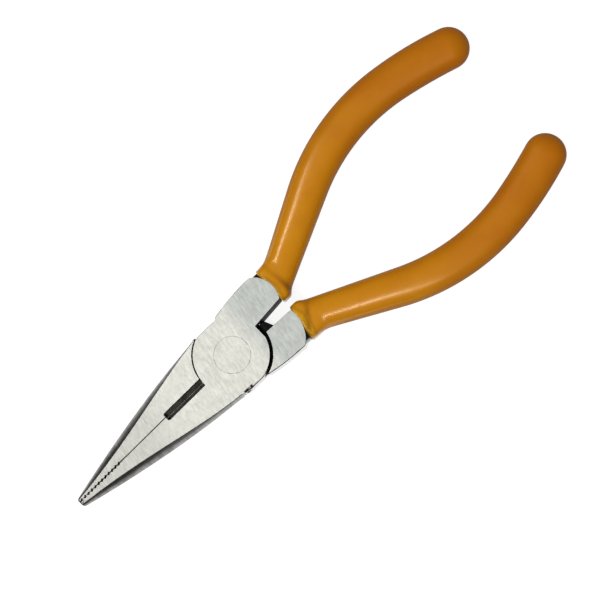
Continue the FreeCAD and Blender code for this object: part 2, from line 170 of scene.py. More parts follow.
def make_group(name: str, inputs: dict[str, Any], outputs: dict[str, str]) -> tuple[Board, Sockets, Sockets]:
    """Starts a shader node group with named inputs and outputs.

    Args:
        name: the group's name.
        inputs: default value of each input; a tuple makes a vector.
        outputs: socket type of each output.

    Returns:
        The group's board, its input sockets and its output sockets, by name.
    """
    tree = bpy.data.node_groups.new(name, "ShaderNodeTree")
    for label, value in inputs.items():
        kind = "NodeSocketVector" if isinstance(value, tuple) else "NodeSocketFloat"
        tree.interface.new_socket(label, in_out="INPUT", socket_type=kind).default_value = value
    for label, kind in outputs.items():
        tree.interface.new_socket(label, in_out="OUTPUT", socket_type=kind)
    board = Board(tree)
    entry, leave = board.add("NodeGroupInput"), board.add("NodeGroupOutput")
    return board, {n: entry.outputs[n] for n in inputs}, {n: leave.inputs[n] for n in outputs}


def grain_group() -> bpy.types.NodeTree:
    """Fine straight lines that a grinding wheel leaves, with broader bands among them.

    Returns:
        A group that puts out Lines and Bands, each from 0 to 1.
    """
    inputs = {"Point": (0.0, 0.0, 0.0), "Angle": 0.0, "Pitch": 0.3, "Length": 6.0}
    outputs = {"Lines": "NodeSocketFloat", "Bands": "NodeSocketFloat"}
    board, given, put = make_group("grinding_grain", inputs, outputs)
    feeds = {"Vector": given["Point"], "Angle": given["Angle"]}
    turned = board.add("ShaderNodeVectorRotate", feeds, rotation_type="Z_AXIS").outputs[0]
    across = board.maths("DIVIDE", 1.0, given["Pitch"])
    along = board.maths("DIVIDE", 1.0, given["Length"])
    stretch = board.add("ShaderNodeCombineXYZ", {"X": across, "Y": along, "Z": along}).outputs[0]
    point = board.vector("MULTIPLY", turned, stretch)
    board.feed(put["Lines"], board.ramp(board.noise(point, 1.0, 3.0), *LINE_SPREAD))
    broad = board.vector("MULTIPLY", point, BAND_SCALE)
    board.feed(put["Bands"], board.ramp(board.noise(broad, 1.0, 2.0), *PATCH_SPREAD))
    return board.tree


def mottle_group() -> bpy.types.NodeTree:
    """Soft uneven patches in two sizes.

    Returns:
        A group that puts out Cloud and Speckle, each from 0 to 1.
    """
    inputs = {"Point": (0.0, 0.0, 0.0), "Patch": 6.0, "Grain": 0.5}
    outputs = {"Cloud": "NodeSocketFloat", "Speckle": "NodeSocketFloat"}
    board, given, put = make_group("mottle", inputs, outputs)
    for label, size, detail in (("Cloud", "Patch", 2.0), ("Speckle", "Grain", 4.0)):
        point = board.scaled(given["Point"], board.maths("DIVIDE", 1.0, given[size]))
        board.feed(put[label], board.ramp(board.noise(point, 1.0, detail), *PATCH_SPREAD))
    return board.tree


def ring_group() -> bpy.types.NodeTree:
    """Broken dark ring about the pivot, where dirt lies in the rivet's seam.

    Returns:
        A group that puts out Ring, 1 in the seam and 0 away from it.
    """
    inputs = {"Point": (0.0, 0.0, 0.0), "Radius": 4.6, "Width": 0.15, "Gaps": 0.5, "Softness": 0.12}
    board, given, put = make_group("seam_ring", inputs, {"Ring": "NodeSocketFloat"})
    flat = board.vector("MULTIPLY", given["Point"], (1.0, 1.0, 0.0))
    seam = board.near(board.vector("LENGTH", flat), given["Radius"], given["Width"], 0.0)
    full = board.maths("ADD", given["Gaps"], given["Softness"])
    filled = board.ramp(board.noise(flat, RING_NOISE, 3.0), given["Gaps"], full)
    board.feed(put["Ring"], board.maths("MULTIPLY", seam, filled))
    return board.tree


@dataclass(frozen=True)
class Effects:
    """The shader groups that the finishes share."""

    grain: bpy.types.NodeTree
    mottle: bpy.types.NodeTree
    ring: bpy.types.NodeTree


class Paint:
    """One material under construction: its board, its surface and its point in millimetres."""

    def __init__(self, name: str) -> None:
        """Makes the material with an empty Principled surface."""
        self.material = bpy.data.materials.new(name)
        self.material.use_nodes = True
        self.board = Board(self.material.node_tree)
        self.material.node_tree.nodes.clear()
        self.surface = self.board.add("ShaderNodeBsdfPrincipled")
        self.board.add("ShaderNodeOutputMaterial", {"Surface": self.surface.outputs[0]})
        place = self.board.add("ShaderNodeTexCoord").outputs["Object"]
        self.point = self.board.scaled(place, 1 / MM)

    @cached_property
    def axes(self) -> bpy.types.bpy_prop_collection:
        """The point's coordinates in millimetres, as sockets X, Y and Z."""
        return self.board.add("ShaderNodeSeparateXYZ", {0: self.point}).outputs

    def set(self, **values: Any) -> None:
        """Feeds sockets of the surface, named with underscores for spaces."""
        for name, value in values.items():
            self.board.feed(self.surface.inputs[name.replace("_", " ")], value)

    def effect(self, group: bpy.types.NodeTree, **values: Any) -> Sockets:
        """Places a shared group, and returns its outputs by name."""
        feeds = {"Point": self.point, **values}
        node = self.board.add("ShaderNodeGroup", node_tree=group)
        for name, value in feeds.items():
            self.board.feed(node.inputs[name], value)
        return {s.name: s for s in node.outputs}

    def bump(self, height: Any, strength: float, distance: float) -> None:
        """Raises the surface by a height, with the distance in millimetres."""
        feeds = {"Height": height, "Strength": strength, "Distance": distance * MM}
        self.set(Normal=self.board.add("ShaderNodeBump", feeds).outputs["Normal"])

    def attribute(self, name: str) -> bpy.types.NodeSocket:
        """Reads a number stored on the mesh."""
        return self.board.add("ShaderNodeAttribute", attribute_name=name).outputs["Fac"]


# ---- finishes -----------------------------------------------------------------


@dataclass(frozen=True)
class GroundSteel:
    """Bright steel, ground flat with the lines across the pliers, dirty in its seams, darkened around the
    nicks, and darker towards the jaws' tips by painted shade.

    Places are in millimetres from the pivot. A reach fades from its first to its second
    number, and a half and a core are where a mark ends and where it is full.
    """

    name: str
    light: Colour = (0.76, 0.76, 0.70)
    dark: Colour = (0.58, 0.58, 0.54)
    tang_light: Colour = (0.59, 0.61, 0.58)
    tang_dark: Colour = (0.47, 0.487, 0.462)
    tang_reach: Span = (-4.0, -10.0)
    darkening_colour: Colour = (0.05, 0.045, 0.04)
    roughness: Span = (0.62, 0.74)
    angle: float = 10.0
    pitch: float = 0.2
    length: float = 2.2
    line_share: float = 0.6
    contrast: float = 0.55
    patch: float = 5.0
    speck: float = 0.7
    patch_share: float = 0.25
    speck_share: float = 0.3
    # Painted shade towards the jaws' tips, where the lamp's light falls off.
    tip_shade_reach: Span = (14.0, 50.0)
    tip_shade: float = 1.6
    ring_radius: float = 4.6
    ring_strength: float = 0.6
    parting: float = -0.5
    parting_start: Span = (22.0, 23.0)
    parting_core: float = 0.06
    parting_strength: float = 0.85
    parting_widens: Span = (36.0, 39.0)
    parting_half: Span = (0.2, 0.3)
    blow: Span = (2.85, 9.0)
    blow_half: Span = (1.55, 0.6)
    blow_core: Span = (1.35, 0.4)
    blow_deepens: Span = (2.3, 3.1)
    blow_strength: Span = (0.5, 0.92)
    blow_height: Span = (6.0, 9.0)
    relief: float = 0.3
    relief_depth: float = 0.014

    def steel_colour(self, paint: Paint, grain: Sockets, mottle: Sockets) -> bpy.types.NodeSocket:
        """Lined and patchy steel, darker towards the jaws' tips by painted shade, and darker and cooler on
        the tangs.
        """
        board, ahead = paint.board, paint.axes["X"]
        bands = board.maths("MULTIPLY", grain["Bands"], 1 - self.line_share)
        tone = board.maths("MULTIPLY_ADD", grain["Lines"], self.line_share, bands)
        cloud = board.maths("MULTIPLY", mottle["Cloud"], self.patch_share)
        soft = board.maths("MULTIPLY_ADD", mottle["Speckle"], self.speck_share, cloud)
        tone = board.maths("MULTIPLY_ADD", tone, self.contrast, soft)
        # Painted shade: the steel darkens towards the jaws' tips, as the lamp's light falls off.
        tone = board.maths("SUBTRACT", tone, board.ramp(ahead, *self.tip_shade_reach, 0.0, self.tip_shade))
        head = board.mixed(tone, self.dark, self.light)
        tang = board.mixed(tone, self.tang_dark, self.tang_light)
        return board.mixed(board.ramp(ahead, *self.tang_reach), head, tang)

    def seam_dirt(self, paint: Paint, effects: Effects) -> bpy.types.NodeSocket:
        """Dirt in the rivet's seam and along the parting line between the jaws."""
        board, ahead = paint.board, paint.axes["X"]
        ring = paint.effect(effects.ring, Radius=self.ring_radius)["Ring"]
        ring = board.maths("MULTIPLY", ring, self.ring_strength)
        half = board.ramp(ahead, *self.parting_widens, *self.parting_half)
        line = board.near(paint.axes["Y"], self.parting, half, self.parting_core, self.parting_strength)
        line = board.maths("MULTIPLY", line, board.ramp(ahead, *self.parting_start))
        return board.maths("MAXIMUM", ring, line)

    def nick_darkening(self, paint: Paint) -> bpy.types.NodeSocket:
        """Darkening around the two nicks that were struck in the edge of the joint."""
        board, ahead = paint.board, paint.axes["X"]
        along = board.near(ahead, self.blow[0], self.blow_half[0], self.blow_core[0])
        across = board.near(paint.axes["Y"], self.blow[1], self.blow_half[1], self.blow_core[1])
        strength = board.ramp(ahead, *self.blow_deepens, *self.blow_strength)
        mark = board.maths("MULTIPLY", board.maths("MULTIPLY", along, across), strength)
        return board.maths("MULTIPLY", mark, board.ramp(paint.axes["Z"], *self.blow_height))

    def build(self, effects: Effects) -> bpy.types.Material:
        """Builds the material."""
        paint = Paint(self.name)
        board = paint.board
        turn = math.radians(self.angle)
        grain = paint.effect(effects.grain, Angle=turn, Pitch=self.pitch, Length=self.length)
        mottle = paint.effect(effects.mottle, Patch=self.patch, Grain=self.speck)
        # Dirt in the seams, and darkening around the nicks.
        darkening = board.maths("MAXIMUM", self.seam_dirt(paint, effects), self.nick_darkening(paint))
        paint.set(
            Base_Color=board.mixed(darkening, self.steel_colour(paint, grain, mottle), self.darkening_colour),
            Metallic=1.0,
            Roughness=board.ramp(grain["Lines"], 0.0, 1.0, *self.roughness),
        )
        paint.bump(grain["Lines"], self.relief, self.relief_depth)
        return paint.material


@dataclass(frozen=True)
class PolishedWall:
    """Bright wall of the joint, darker and duller just under its front edge and around where the nicks were
    struck.
    """

    name: str = "polished_wall"
    light: Colour = (0.33, 0.33, 0.325)
    dark: Colour = (0.20, 0.20, 0.197)
    darkening_colour: Colour = (0.035, 0.033, 0.03)
    roughness: Span = (0.12, 0.6)
    pitch: float = 0.4
    length: float = 9.0
    edge_height: Span = (7.0, 8.4)
    blow: float = 3.15
    blow_half: float = 1.9
    blow_core: float = 1.3
    blow_side: Span = (8.0, 9.0)
    blow_height: Span = (6.4, 7.6)

    def build(self, effects: Effects) -> bpy.types.Material:
        """Builds the material."""
        paint = Paint(self.name)
        board, height = paint.board, paint.axes["Z"]
        grain = paint.effect(effects.grain, Angle=math.pi / 2, Pitch=self.pitch, Length=self.length)
        front = board.ramp(paint.axes["Y"], *self.blow_side)
        front = board.maths("MULTIPLY", front, board.ramp(height, *self.blow_height))
        # Darker around the nicks, near the wall's top.
        blow = board.near(paint.axes["X"], self.blow, self.blow_half, self.blow_core)
        blow = board.maths("MULTIPLY", blow, front)
        # Darker and duller towards the wall's top, under the front edge, and around the nicks.
        darkening = board.maths("MAXIMUM", board.ramp(height, *self.edge_height), blow)
        paint.set(
            Base_Color=board.mixed(darkening, board.mixed(grain["Bands"], self.dark, self.light), self.darkening_colour),
            Metallic=board.maths("SUBTRACT", 1.0, darkening),
            Roughness=board.ramp(darkening, 0.0, 1.0, *self.roughness),
            Specular_IOR_Level=0.1,
        )
        return paint.material


@dataclass(frozen=True)
class FlankSteel:
    """Polished flank of a jaw, with a painted dark reflection along the edge of the ground face."""

    name: str = "flank_steel"
    light: Colour = (0.27, 0.266, 0.26)
    dark: Colour = (0.15, 0.147, 0.143)
    # Painted reflection: the dark that the flank mirrors next to the ground face's edge.
    reflected_dark: Colour = (0.05, 0.047, 0.044)
    roughness: Span = (0.36, 0.48)
    angle: float = 4.0
    pitch: float = 0.3
    length: float = 9.0
    patch: float = 5.0
    speck: float = 0.8
    wander: float = 0.12
    reflected_dark_reach: Span = (0.55, 0.95)
    reflected_dark_strength: float = 0.95
    relief: float = 0.2
    relief_depth: float = 0.01

    def build(self, effects: Effects) -> bpy.types.Material:
        """Builds the material."""
        paint = Paint(self.name)
        board = paint.board
        turn = math.radians(self.angle)
        grain = paint.effect(effects.grain, Angle=turn, Pitch=self.pitch, Length=self.length)
        mottle = paint.effect(effects.mottle, Patch=self.patch, Grain=self.speck)
        steel = board.mixed(grain["Bands"], self.dark, self.light)
        share = board.maths("MULTIPLY_ADD", mottle["Cloud"], self.wander, paint.attribute(HEIGHT_SHARE))
        # Painted reflection: darker towards the ground face's edge, standing in for the dark surroundings
        # mirrored there.
        dark_reflection = board.ramp(share, *self.reflected_dark_reach, 0.0, self.reflected_dark_strength)
        paint.set(
            Base_Color=board.mixed(dark_reflection, steel, self.reflected_dark),
            Metallic=1.0,
            Roughness=board.ramp(grain["Lines"], 0.0, 1.0, *self.roughness),
        )
        paint.bump(grain["Lines"], self.relief, self.relief_depth)
        return paint.material


@dataclass(frozen=True)
class BlackOxide:
    """Black scale that forging and heat treatment leave on steel, worn in the side cutter."""

    name: str = "black_oxide"
    light: Colour = (0.034, 0.031, 0.029)
    dark: Colour = (0.009, 0.008, 0.008)
    worn: Colour = (0.14, 0.126, 0.112)
    worn_reach: Span = (9.0, 10.5)
    worn_tone: Span = (0.0, 0.6)
    worn_share: Span = (0.55, 1.0)
    roughness: Span = (0.5, 0.75)
    patch: float = 1.6
    speck: float = 0.25
    relief: float = 0.5
    relief_depth: float = 0.03

    def build(self, effects: Effects) -> bpy.types.Material:
        """Builds the material."""
        paint = Paint(self.name)
        board = paint.board
        mottle = paint.effect(effects.mottle, Patch=self.patch, Grain=self.speck)
        tone = board.maths("MULTIPLY", mottle["Cloud"], mottle["Speckle"])
        share = board.ramp(tone, *self.worn_tone, *self.worn_share)
        share = board.maths("MULTIPLY", board.ramp(paint.axes["X"], *self.worn_reach), share)
        paint.set(
            Base_Color=board.mixed(share, board.mixed(tone, self.dark, self.light), self.worn),
            Metallic=0.0,
            Roughness=board.ramp(mottle["Speckle"], 0.0, 1.0, *self.roughness),
            Specular_IOR_Level=0.08,
        )
        paint.bump(mottle["Speckle"], self.relief, self.relief_depth)
        return paint.material


@dataclass(frozen=True)
class DippedVinyl:
    """Vinyl that a hot handle was dipped in: glossy at the neck, thin and yellow at the rim, with painted
    shade towards the ends, in the crease and beside the rim.
    """

    name: str = "dipped_vinyl"
    neck: Colour = (0.60, 0.235, 0.003)
    # The end colour is the neck's colour in painted shade, where the lamp's light falls off.
    end: Colour = (0.475, 0.142, 0.002)
    thin: Colour = (0.60, 0.30, 0.004)
    # Painted shade in the crease and in the valley beside the rim.
    crease_shade: Colour = (0.20, 0.075, 0.002)
    sheen: Colour = (1.0, 0.72, 0.34)
    end_shade_reach: Span = (-20.0, -85.0)
    end_shade_share: float = 0.85
    patch: float = 9.0
    speck: float = 1.4
    patch_share: float = 0.25
    matt_reach: Span = (-34.0, -56.0)
    roughness: Span = (0.17, 0.36)
    speck_roughness: float = 0.06
    gloss_reach: Span = (-30.0, -56.0)
    gloss: float = 0.25
    relief: float = 0.12
    relief_depth: float = 0.05

    def build(self, effects: Effects) -> bpy.types.Material:
        """Builds the material."""
        paint = Paint(self.name)
        board, behind = paint.board, paint.axes["X"]
        mottle = paint.effect(effects.mottle, Patch=self.patch, Grain=self.speck)
        # Painted shade towards the handle's end, where the lamp's light falls off, with random patches mixed
        # in.
        fade = board.maths("MULTIPLY", board.ramp(behind, *self.end_shade_reach), self.end_shade_share)
        fade = board.maths("MULTIPLY_ADD", mottle["Cloud"], self.patch_share, fade)
        colour = board.mixed(fade, self.neck, self.end)
        colour = board.mixed(paint.attribute(THIN_COAT), colour, self.thin)
        matt = board.ramp(behind, *self.matt_reach, *self.roughness)
        # The crease mark darkens the colour as painted shade.
        paint.set(
            Base_Color=board.mixed(paint.attribute(CREASE_SHADE), colour, self.crease_shade),
            Roughness=board.maths("MULTIPLY_ADD", mottle["Speckle"], self.speck_roughness, matt),
            Specular_IOR_Level=0.33,
            Specular_Tint=(*self.sheen, 1.0),
            Coat_Weight=board.ramp(behind, *self.gloss_reach, self.gloss, 0.0),
            Coat_Roughness=0.16,
        )
        paint.bump(mottle["Speckle"], self.relief, self.relief_depth)
        return paint.material


# ---- levers and rivet ---------------------------------------------------------


class Surface(IntEnum):
    """What a face of a steel piece is, and its place among the piece's materials.

    A worn edge is dressed like the one of its neighbours that comes later here.
    """

    FACE = 0
    WALL = 1
    FLANK = 2
    OXIDE = 3
    EDGE = 4


@dataclass
class Steel:
    """A forged or turned piece that keeps the frame's shape and gets worn edges."""

    node: str
    body: str
    name: str
    slot: str
    materials: list[bpy.types.Material]
    edge_wear: float = 0.09
    wear_segments: int = 3
    sharp_angle: float = 28.0
    flat_angle: float = 0.2
    flat_normal: float = 0.9
    level_normal: float = 0.9995
    merge: float = 0.002

    def surface_of(self, centre: Vector, normal: Vector) -> Surface:
        """Which surface a face belongs to; centre in millimetres."""
        return Surface.FACE if abs(normal.z) > self.flat_normal else Surface.OXIDE

    def wear_of(self, kinds: set[Surface], middle: Vector) -> float:
        """How far an edge is worn back, in millimetres."""
        return self.edge_wear

    @cached_property
    def span(self) -> Span:
        """Height of the piece's middle and half of its thickness."""
        low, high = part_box(self.node)
        return (low.z + high.z) / 2 / MM, (high.z - low.z) / 2 / MM

    def height_share(self, point: Vector) -> float:
        """How near a point is to the outer face, from 0 at mid-thickness to 1."""
        middle, half = self.span
        return abs(point.z - middle) / half

    def clean_copy(self) -> bpy.types.Mesh:
        """Copy of the frame's mesh, with flat faces joined and each face's surface set.

        A cut through the pivot, kept as a seam, splits the flat faces that go right
        round the rivet, because a face can't have a hole.

        Returns:
            The new mesh.
        """
        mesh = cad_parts[self.node].data.copy()
        mesh.materials.clear()
        for material in self.materials:
            mesh.materials.append(material)
        mesh.name = self.name
        shape = bmesh.new()
        shape.from_mesh(mesh)
        bmesh.ops.remove_doubles(shape, verts=shape.verts, dist=self.merge * MM)
        every = [*shape.verts, *shape.edges, *shape.faces]
        cut = bmesh.ops.bisect_plane(shape, geom=every, plane_co=(0, 0, 0), plane_no=(1, 0, 0))
        for part in cut["geom_cut"]:
            if isinstance(part, bmesh.types.BMEdge):
                part.seam = True
        bmesh.ops.dissolve_limit(
            shape, angle_limit=math.radians(self.flat_angle), verts=shape.verts, edges=shape.edges,
            delimit={"SEAM"},
        )
        for face in shape.faces:
            face.smooth = True
            face.material_index = self.surface_of(face.calc_center_median() / MM, face.normal)
        self.mark_edges(shape)
        shape.to_mesh(mesh)
        shape.free()
        return mesh

    def mark_edges(self, shape: bmesh.types.BMesh) -> None:
        """Sets how far the Bevel modifier wears each sharp edge, and keeps the rest crisp."""
        wear = shape.edges.layers.float.new("bevel_weight_edge")
        for edge in shape.edges:
            if edge.calc_face_angle(0.0) < math.radians(self.sharp_angle):
                continue
            middle = (edge.verts[0].co + edge.verts[1].co) / 2 / MM
            kinds = {Surface(face.material_index) for face in edge.link_faces}
            edge[wear] = self.wear_of(kinds, middle)
            edge.smooth = edge[wear] > 0

    def build(self) -> bpy.types.Object:
        """Makes the piece and puts it in its node's place.

        Returns:
            The finished object.
        """
        piece = bpy.data.objects.new(self.name, self.clean_copy())
        bpy.context.scene.collection.objects.link(piece)
        bevel = piece.modifiers.new("worn_edges", "BEVEL")
        bevel.limit_method = "WEIGHT"
        bevel.width = MM
        bevel.segments = self.wear_segments
        bevel.use_clamp_overlap = False
        bevel.material = Surface.EDGE
        shade = piece.modifiers.new("flat_faces", "WEIGHTED_NORMAL")
        shade.keep_sharp = True
        bake_modifiers(piece)
        self.dress_edges(piece.data)
        self.store_height(piece.data)
        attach(piece, self.body)
        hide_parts(self.node)
        return piece

    def dress_edges(self, mesh: bpy.types.Mesh) -> None:
        """Gives a worn edge the later of the finishes beside it, and its level parts the face's."""
        shape = bmesh.new()
        shape.from_mesh(mesh)
        waiting = [face for face in shape.faces if face.material_index == Surface.EDGE]
        for face in waiting:
            if abs(face.normal.z) > self.level_normal:
                face.material_index = Surface.FACE
        waiting = [face for face in waiting if face.material_index == Surface.EDGE]
        while waiting:
            found = {}
            for face in waiting:
                beside = {other.material_index for edge in face.edges for other in edge.link_faces}
                beside -= {Surface.EDGE}
                if beside:
                    found[face] = max(beside)
            for face, surface in found.items():
                face.material_index = surface
            waiting = [face for face in waiting if face not in found] if found else []
        shape.to_mesh(mesh)
        shape.free()

    def store_height(self, mesh: bpy.types.Mesh) -> None:
        """Stores each point's height share for the finishes to read."""
        shares = mesh.attributes.new(HEIGHT_SHARE, "FLOAT", "POINT")
        values = [self.height_share(vertex.co / MM) for vertex in mesh.vertices]
        shares.data.foreach_set("value", values)


def bake_modifiers(piece: bpy.types.Object) -> None:
    """Turns what the piece's modifiers show into its plain mesh."""
    bpy.context.view_layer.update()
    evaluated = piece.evaluated_get(bpy.context.evaluated_depsgraph_get())
    mesh = bpy.data.meshes.new_from_object(evaluated)
    mesh.name = piece.name
    piece.modifiers.clear()
    piece.data = mesh


@dataclass
class Lever(Steel):
    """One lever: handle core, tang, half of the lap joint, and jaw.

    Places are in millimetres from the pivot. A corner is a stretch along the lever and
    the distance beyond which it lies, which is negative away from the jaw's side.
    """

    jaw_side: int = 1
    head_half: float = 8.9
    jaw_root: float = 4.8
    jaw_tip: float = 52.75
    tip_thick: float = 3.6
    thick_power: float = 1.6
    tip_reach: float = 1.0
    disc_radius: float = 9.88
    disc_slack: float = 0.1
    face_end: float = -18.8
    face_share: float = 0.94
    disc_share: float = 0.9
    wall_end: float = -16.3
    flank_normal: float = 0.25
    tip_normal: float = 0.5
    wall_normal: float = 0.7
    flank_wear: float = 0.2
    wall_wear: float = 0.12
    seam_wear: float = 0.1
    seam_start: float = -8.0
    corners: tuple[Stretch, ...] = ((-18.0, -13.8, -8.2), (-4.4, -2.4, -8.9), (4.2, 5.4, 8.3))
    nicks: Stretch = (0.6, 4.8, 8.2)
    cutter: Span = (8.8, 22.8)
    tooth_start: float = 38.3
    parting_zone: float = 2.2
    rivet_zone: float = 5.0
    web: Span = (-9.9, -1.4)
    web_zone: float = 1.0

    def half_thick(self, x: float) -> float:
        """Half of the lever's thickness at a distance along it."""
        half = self.span[1]
        share = min(max((x - self.jaw_root) / (self.jaw_tip - self.jaw_root), 0.0), 1.0)
        return half - (half - self.tip_thick / 2) * share**self.thick_power

    def height_share(self, point: Vector) -> float:
        """How near a point is to the ground face, from 0 at mid-thickness to 1."""
        return min(abs(point.z - self.span[0]) / self.half_thick(point.x), 1.0)

    def surface_of(self, centre: Vector, normal: Vector) -> Surface:
        """Which surface a face belongs to; centre in millimetres."""
        share = self.height_share(centre)
        if abs(normal.z) > self.flat_normal and share > self.face_share and centre.x > self.face_end:
            return Surface.FACE
        on_disc = abs(math.hypot(centre.x, centre.y) - self.disc_radius) < self.disc_slack
        if on_disc and centre.y * self.jaw_side > 0 and share > self.disc_share:
            return Surface.FACE
        if centre.x > self.jaw_root and normal.y * self.jaw_side > self.flank_normal:
            return Surface.FLANK
        if centre.x > self.jaw_tip - self.tip_reach and normal.x > self.tip_normal:
            return Surface.FLANK
        beside = abs(centre.y) > self.head_half and abs(normal.y) > self.wall_normal
        return Surface.WALL if beside and centre.x > self.wall_end else Surface.OXIDE

    def is_crisp(self, kinds: set[Surface], middle: Vector) -> bool:
        """Whether an edge stays crisp: short details, and corners where wear would fold a face."""
        if kinds == {Surface.FACE} or math.hypot(middle.x, middle.y) < self.rivet_zone:
            return True
        if kinds == {Surface.OXIDE} and math.dist(middle.xy, self.web) < self.web_zone:
            return True
        aside = middle.y * self.jaw_side
        return any(low < middle.x < high and aside / side > 1 for low, high, side in self.corners)

    def in_detail(self, middle: Vector) -> bool:
        """Whether an edge belongs to the teeth, the side cutter or the nicks."""
        beside = abs(middle.y) < self.parting_zone
        if beside and (middle.x > self.tooth_start or self.cutter[0] < middle.x < self.cutter[1]):
            return True
        low, high, side = self.nicks
        return low < middle.x < high and middle.y * self.jaw_side > side

    def wear_of(self, kinds: set[Surface], middle: Vector) -> float:
        """How far an edge is worn back, in millimetres.

        Args:
            kinds: the surfaces of the two faces that meet at the edge.
            middle: the middle of the edge, in millimetres.

        Returns:
            The wear, or 0 for an edge that stays crisp.
        """
        if kinds == {Surface.FACE, Surface.FLANK}:
            return self.flank_wear
        if self.is_crisp(kinds, middle):
            return 0.0
        if kinds == {Surface.FACE, Surface.WALL}:
            return self.wall_wear
        if self.in_detail(middle):
            return 0.0
        seam = kinds == {Surface.FACE, Surface.OXIDE} and middle.x > self.seam_start
        return self.seam_wear if seam else self.edge_wear


# ---- grips --------------------------------------------------------------------

# Where the straight runs of a handle's two edges start, and how steep they are.
OUTER_RUN_X, OUTER_RUN_Y, OUTER_SLOPE = 21.0, 11.04, 28.6
INNER_RUN_X, INNER_RUN_Y, INNER_SLOPE = 20.0, 1.2, 25.0


@dataclass(frozen=True)
class Rail:
    """One long edge of a handle in plan: a neck, a straight run, a bend and a tail.

    Distances are taken from the pivot, behind it along x and off the middle along y.
    """

    run_x: float
    run_y: float
    slope: float
    bend_x: float
    bend_radius: float
    tail_slope: float
    tail_radius: float
    neck: Callable[[float], float]
    neck_end: float

    def y(self, x: float) -> float:
        """Distance off the middle at a distance behind the pivot."""
        if x < self.neck_end:
            return self.neck(x)
        rise, fall = math.radians(self.slope), math.radians(self.tail_slope)
        if x < self.bend_x:
            return self.run_y + (x - self.run_x) * math.tan(rise)
        top = self.run_y + (self.bend_x - self.run_x) * math.tan(rise)
        tail_x = self.bend_x + self.bend_radius * (math.sin(rise) + math.sin(fall))
        if x < tail_x:
            centre_x = self.bend_x + self.bend_radius * math.sin(rise)
            centre_y = top - self.bend_radius * math.cos(rise)
            return centre_y + math.sqrt(self.bend_radius**2 - (x - centre_x) ** 2)
        tail_y = top + self.bend_radius * (math.cos(fall) - math.cos(rise))
        centre_x = tail_x - self.tail_radius * math.sin(fall)
        centre_y = tail_y - self.tail_radius * math.cos(fall)
        return centre_y + math.sqrt(self.tail_radius**2 - (x - centre_x) ** 2)


def outer_neck(x: float, base: float = 11.05, blend: float = 0.6) -> float:
    """Outer edge of the neck: level beside the tang, then turning into the run."""
    rise = math.tan(math.radians(OUTER_SLOPE)) * blend
    return base + rise * math.log1p(math.exp((x - OUTER_RUN_X) / blend))


def inner_neck(x: float, lobe: float, delay: float = 1.1, blend: float = 0.35) -> float:
    """Inner edge of the neck: a lobe over the tang's corner, then the run."""
    run = INNER_RUN_Y + (x - INNER_RUN_X) * math.tan(math.radians(INNER_SLOPE))
    share = 1 / (1 + math.exp(-(x - INNER_RUN_X - delay) / blend))
    return lobe + (run - lobe) * share


def build_outer_rail() -> Rail:
    """Outer edge, the same on both handles."""
    return Rail(
        run_x=OUTER_RUN_X, run_y=OUTER_RUN_Y, slope=OUTER_SLOPE, bend_x=38.4, bend_radius=58.7,
        tail_slope=7.2, tail_radius=99.0, neck=outer_neck, neck_end=24.5,
    )


def build_inner_rail(lobe: float) -> Rail:
    """Inner edge of a handle, with its lobe's distance off the middle."""
    return Rail(
        run_x=INNER_RUN_X, run_y=INNER_RUN_Y, slope=INNER_SLOPE, bend_x=44.5, bend_radius=50.1,
        tail_slope=11.2, tail_radius=134.0, neck=lambda x: inner_neck(x, lobe), neck_end=24.0,
    )


@dataclass
class Grip:
    """Dipped coat of one handle, lofted between its two rails."""

    node: str
    body: str
    name: str
    side: int
    material: bpy.types.Material
    outer_start: float
    outer_end: float
    lobe: float
    rim_centre: Span
    rim_radius: float
    crease_point: Span
    crease_way: Span
    # Across the grip, where the crease's painted shade starts and where it is full.
    crease_shade_reach: Span
    inner_start: float = 18.2
    end_half: float = 5.2
    end_skew: float = 18.2
    rail_step: float = 0.5

    def rails(self) -> bpy.types.Object:
        """The outer and the inner rail, as two splines of one curve."""
        skew = 2 * self.end_half * math.sin(math.radians(self.end_skew))
        ends = (
            (build_outer_rail(), self.outer_start, self.outer_end),
            (build_inner_rail(self.lobe), self.inner_start, self.outer_end - skew),
        )
        curve = bpy.data.curves.new(self.name, "CURVE")
        curve.dimensions = "3D"
        for rail, start, end in ends:
            count = round((end - start) / self.rail_step)
            spline = curve.splines.new("POLY")
            spline.points.add(count)
            for index, point in enumerate(spline.points):
                x = start + (end - start) * index / count
                point.co = (-x * MM, self.side * rail.y(x) * MM, 0.0, 1.0)
        rails = bpy.data.objects.new(self.name, curve)
        bpy.context.scene.collection.objects.link(rails)
        return rails

    def build(self, tree: bpy.types.NodeTree) -> bpy.types.Object:
        """Lofts the grip with the shared tree and puts it in its node's place.

        Args:
            tree: the Geometry Nodes tree that lofts a grip.

        Returns:
            The finished object.
        """
        rails = self.rails()
        loft = rails.modifiers.new("dip", "NODES")
        loft.node_group = tree
        low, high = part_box(self.node)
        values = {
            "Middle Height": (low.z + high.z) / 2 / MM,
            "Rim Centre": (*self.rim_centre, 0.0),
            "Rim Radius": self.rim_radius,
            "Crease Point": (*self.crease_point, 0.0),
            "Crease Way": (*self.crease_way, 0.0),
            "Crease Shade From": self.crease_shade_reach[0],
            "Crease Shade To": self.crease_shade_reach[1],
            "Vinyl": self.material,
        }
        identifiers = {i.name: i.identifier for i in tree.interface.items_tree if i.in_out == "INPUT"}
        for name, value in values.items():
            loft[identifiers[name]] = value
        bpy.context.view_layer.update()
        evaluated = rails.evaluated_get(bpy.context.evaluated_depsgraph_get())
        mesh = bpy.data.meshes.new_from_object(evaluated)
        bpy.data.objects.remove(rails)
        mesh.name = self.name
        face_outwards(mesh)
        piece = bpy.data.objects.new(self.name, mesh)
        bpy.context.scene.collection.objects.link(piece)
        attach(piece, self.body)
        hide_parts(self.node)
        return piece


